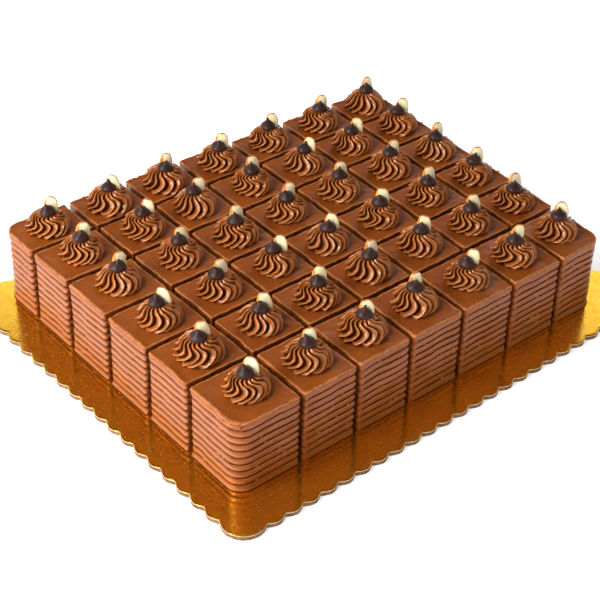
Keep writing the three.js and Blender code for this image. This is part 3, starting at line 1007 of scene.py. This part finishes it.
def chocolate_icing():
    """Buttercream, with bare crumb where a cut runs deeper than the icing."""
    n = Nodes("chocolate_icing")
    groove = n.value("groove")
    depth = n.value("depth")
    icing = n.mix(n.ramp(n.noise(45, 4, 0.6), 0.3, 0.7), *ICING_SHADES)
    icing = n.mix(n.ramp(n.noise(420, 3), 0.35, 0.75, 0, 0.3), icing, ICING_FLECKS)
    # Painted highlight along the top edges and on the upper sides of the folds and burrs, broken up by noise.
    rim = n.math("ADD", n.value("rim"), n.ramp(n.noise(380, 3), 0.3, 0.7, -0.75, 0.1))
    icing = n.mix(n.ramp(rim, 0, 0.5, 0, 0.75), icing, PAINTED_HIGHLIGHT_ICING)
    # Painted sheen on the comb's lips, and painted shade in the grooves, in the notches at the bands' ends,
    # on the folds' lower sides and at the foot.
    icing = n.mix(n.ramp(groove, -1, 0, 0.4, 0), icing, LIP_PAINTED_SHEEN)
    icing = n.mix(n.ramp(groove, 0, 1, 0, 0.75), icing, SHADED_ICING)
    ragged_groove = n.math("ADD", groove, n.ramp(n.noise(300, 3), 0.3, 0.7, -0.6, 0.0))
    icing = n.mix(n.ramp(ragged_groove, 0.3, 1.0), icing, DEEP_PAINTED_SHADE)
    crumb = n.mix(n.ramp(n.noise(900, 4), 0.35, 0.65), *CRUMB_SHADES)
    ragged_depth = n.math("ADD", depth, n.ramp(n.noise(420, 4, 0.6), 0.25, 0.75, -2.4, 1.6))
    bare = n.ramp(ragged_depth, ICING_DEPTH - 0.3, ICING_DEPTH + 0.3)
    patches = n.ramp(n.noise(330, 4, 0.6), 0.42, 0.6, 0, 0.75)
    scraped = n.math("MULTIPLY", n.ramp(depth, 0.3, 1.4), patches)
    icing = n.mix(scraped, icing, SCRAPED_ICING)
    stretched = n.add("VectorMath", 0, {0: n.place, 1: (60, 700, 300)}, operation="MULTIPLY")
    smooth = n.bump(n.noise(1, 4, 0.6, stretched), 0.00022, 0.5)
    smooth = n.bump(n.noise(1500, 2), 0.00008, 0.35, smooth)
    cells = n.add("TexVoronoi", "Distance", {"Scale": 650, "Vector": n.place})
    low, high = ((CAKE_FOOT + CAKE_HEIGHT - down) * MILLIMETRE for down in SHINE_DEPTHS)
    shine = n.ramp(n.height(), low, high, SIDE_SHINE, TOP_SHINE)
    n.set(
        Base_Color=n.mix(bare, icing, crumb),
        Roughness=n.mix(bare, ICING_ROUGHNESS, CRUMB_ROUGHNESS),
        Normal=n.bump(n.math("MULTIPLY", cells, bare), 0.0012, 1.0, smooth),
        Subsurface_Weight=0.08,
        Specular_IOR_Level=n.math("MULTIPLY", shine, n.ramp(groove, 0.2, 1, 1, 0.15)),
        **ICING_LOOK,
    )
    return n.made


def piped_icing():
    """The same buttercream, piped: smoother and a little glossier."""
    n = Nodes("piped_icing")
    groove = n.value("groove")
    icing = n.mix(n.ramp(n.noise(60, 2), 0.3, 0.7), *PIPED_SHADES)
    # Painted shade in the grooves and a painted highlight along the crests.
    icing = n.mix(n.ramp(groove, 0.0, 0.9, 0, 0.95), icing, PIPED_GROOVE_SHADE)
    icing = n.mix(n.ramp(groove, -1, 0, 0.75, 0), icing, PIPED_CREST_HIGHLIGHT)
    n.set(
        Base_Color=icing,
        Roughness=n.ramp(n.noise(260, 2), 0.3, 0.7, 0.16, 0.26),
        Normal=n.bump(n.noise(900, 3), 0.00012, 0.35),
        Subsurface_Weight=0.12,
        Specular_IOR_Level=n.ramp(groove, 0.1, 0.8, 0.65, 0.05),
        **ICING_LOOK,
    )
    return n.made


def dark_chocolate():
    """Drops of dark chocolate with a faint bloom."""
    n = Nodes("dark_chocolate")
    bloom = n.ramp(n.noise(180, 3), 0.45, 0.75)
    n.set(
        Base_Color=n.mix(bloom, (0.034, 0.014, 0.011), (0.06, 0.029, 0.025)),
        Roughness=n.ramp(n.noise(300, 2), 0.3, 0.7, 0.3, 0.4),
        Normal=n.bump(n.noise(500, 2), 0.00015, 0.4),
        Specular_IOR_Level=0.2,
    )
    return n.made


def nut_flesh():
    """Cream-coloured nut, with toasted skin on the back and a brown point at the tip."""
    n = Nodes("nut_flesh")
    flesh = n.mix(n.ramp(n.noise(140, 3), 0.35, 0.7), (1.0, 0.82, 0.46), (1.0, 0.9, 0.62))
    ragged = n.math("ADD", n.value("skin"), n.ramp(n.noise(500, 3), 0.2, 0.8, -0.35, 0.35))
    skin = n.mix(n.ramp(n.noise(350, 3), 0.3, 0.7), (0.55, 0.13, 0.012), (0.85, 0.4, 0.08))
    covered = n.mix(n.ramp(ragged, 0.45, 0.8), flesh, skin)
    n.set(
        Base_Color=n.mix(n.value("tip"), covered, (0.4, 0.12, 0.03)),
        Roughness=0.45,
        Normal=n.bump(n.noise(300, 3), 0.0003, 0.3),
        Subsurface_Weight=0.35,
        Subsurface_Radius=(1.0, 0.85, 0.6),
        Subsurface_Scale=0.002,
    )
    return n.made


def gold_foil():
    """Amber-lacquered foil on paper: a mottled mirror."""
    n = Nodes("gold_foil")
    mottle = n.noise(160, 4, 0.65)
    specks = n.ramp(n.noise(420, 6, 0.75), 0.57, 0.69, 0, 0.75)
    normal = n.bump(mottle, 0.0006, 0.09)
    foil = n.mix(n.ramp(mottle, 0.35, 0.65), (0.98, 0.5, 0.03), (1.0, 0.58, 0.055))
    dullness = n.ramp(n.noise(240, 4), 0.35, 0.7, 0.13, 0.23)
    n.set(
        Base_Color=n.mix(specks, foil, (1.0, 0.72, 0.2)),
        Metallic=0.95,
        Roughness=n.math("ADD", dullness, n.math("MULTIPLY", specks, 0.3)),
        Normal=n.bump(n.noise(700, 3, 0.6), 0.0002, 0.15, normal),
    )
    return n.made


def paper(name, scale, *shades):
    """Paper or card in two mixed shades."""
    n = Nodes(name)
    n.set(
        Base_Color=n.mix(n.ramp(n.noise(scale, 4), 0.35, 0.65), *shades),
        Roughness=0.85,
        Normal=n.bump(n.noise(1200, 3), 0.0002, 0.5),
    )
    return n.made


def floor_material():
    """Plain white studio floor."""
    n = Nodes("studio_floor")
    n.set(
        Base_Color=n.mix(n.ramp(n.noise(3, 2), 0.3, 0.7), (0.9, 0.9, 0.9), (0.92, 0.92, 0.92)),
        Roughness=0.9,
        Emission_Color=WHITE,
        Emission_Strength=FLOOR_GLOW,
    )
    return n.made


# The scene.


def node_names(row):
    return [f"square_row{row + 1}_col{column + 1}" for column in range(COLUMNS)]


def build_cake():
    icing = chocolate_icing()
    piped = piped_icing()
    for j in range(ROWS):
        squares = Heap("depth", "groove", "rim")
        rosettes = Heap("groove")
        for i in range(COLUMNS):
            cake_square(i, j, squares)
            burrs(i, j, squares)
            rosette(i, j, rosettes)
        if j == 0:
            corner_smears(squares)
        made = squares.piece(f"cake_row{j + 1}", [icing], *node_names(j))
        made = rosettes.piece(f"rosettes_row{j + 1}", [piped], *node_names(j))


def build_toppings():
    drops = Heap()
    nuts = Heap("skin", "tip")
    for j in range(ROWS):
        for i in range(COLUMNS):
            drop(i, j, drops)
            nut(i, j, nuts)
    names = [name for row in range(ROWS) for name in node_names(row)]
    drops.piece("chocolate_drops", [dark_chocolate()], *names)
    nuts.piece("nut_halves", [nut_flesh()], *names)


def build_board():
    materials = [
        gold_foil(),
        paper("paper_edge", 500, (0.68, 0.4, 0.14), (0.92, 0.68, 0.34)),
        paper("brown_liner", 300, (0.16, 0.08, 0.045), (0.33, 0.18, 0.1)),
        # Near-black: partly the real dark holes between the flutes, partly painted shade on the recessed
        # band.
        paper("shaded_fluted_core", 400, (0.02, 0.012, 0.008), (0.06, 0.035, 0.02)),
    ]
    cake_board(materials)


def build_floor():
    mesh = bpy.data.meshes.new("floor")
    corners = ((-1, -1), (1, -1), (1, 1), (-1, 1))
    mesh.from_pydata([(x * FLOOR_HALF, y * FLOOR_HALF, -FLOOR_BELOW) for x, y in corners], [], [(0, 1, 2, 3)])
    mesh.materials.append(floor_material())
    floor = add_object("floor", mesh)


def softbox(name, toward, distance, width, height, power):
    """A rectangular white light in direction toward from the cake, facing it."""
    data = bpy.data.lights.new(name, "AREA")
    data.shape = "RECTANGLE"
    data.size = width
    data.size_y = height
    data.energy = power
    light = add_object(name, data)
    way = Vector(toward).normalized()
    light.location = way * distance
    light.rotation_mode = "QUATERNION"
    light.rotation_quaternion = way.to_track_quat("Z", "Y")


def build_light():
    """The softboxes, and white walls that are bright low down and dark overhead."""
    for name, values in SOFTBOXES.items():
        softbox(name, *values)
    n = Nodes("studio", "World", "Background", "Generated")
    n.set(Color=WHITE, Strength=n.ramp(n.height(), *WALL_LIGHT))
    bpy.context.scene.world = n.made


def build_camera():
    a = CAMERA_AZIMUTH
    e = CAMERA_ELEVATION
    back = Vector((math.sin(a) * math.cos(e), -math.cos(a) * math.cos(e), math.sin(e)))
    right = Vector((0, 0, 1)).cross(back).normalized()
    up = back.cross(right)
    rolled_right = right * math.cos(CAMERA_ROLL) + up * math.sin(CAMERA_ROLL)
    rolled_up = up * math.cos(CAMERA_ROLL) - right * math.sin(CAMERA_ROLL)
    data = bpy.data.cameras.new("camera")
    data.lens = CAMERA_LENS
    data.sensor_width = CAMERA_SENSOR
    data.clip_start = CAMERA_NEAREST
    data.clip_end = CAMERA_FURTHEST
    camera = add_object("camera", data)
    turned = Matrix((rolled_right, rolled_up, back)).transposed().to_4x4()
    camera.matrix_world = Matrix.Translation(CAMERA_TARGET + back * CAMERA_DISTANCE) @ turned
    bpy.context.scene.camera = camera


build_cake()
build_toppings()
build_board()
build_floor()
build_light()
build_camera()
bpy.context.scene.view_settings.view_transform = "Standard"
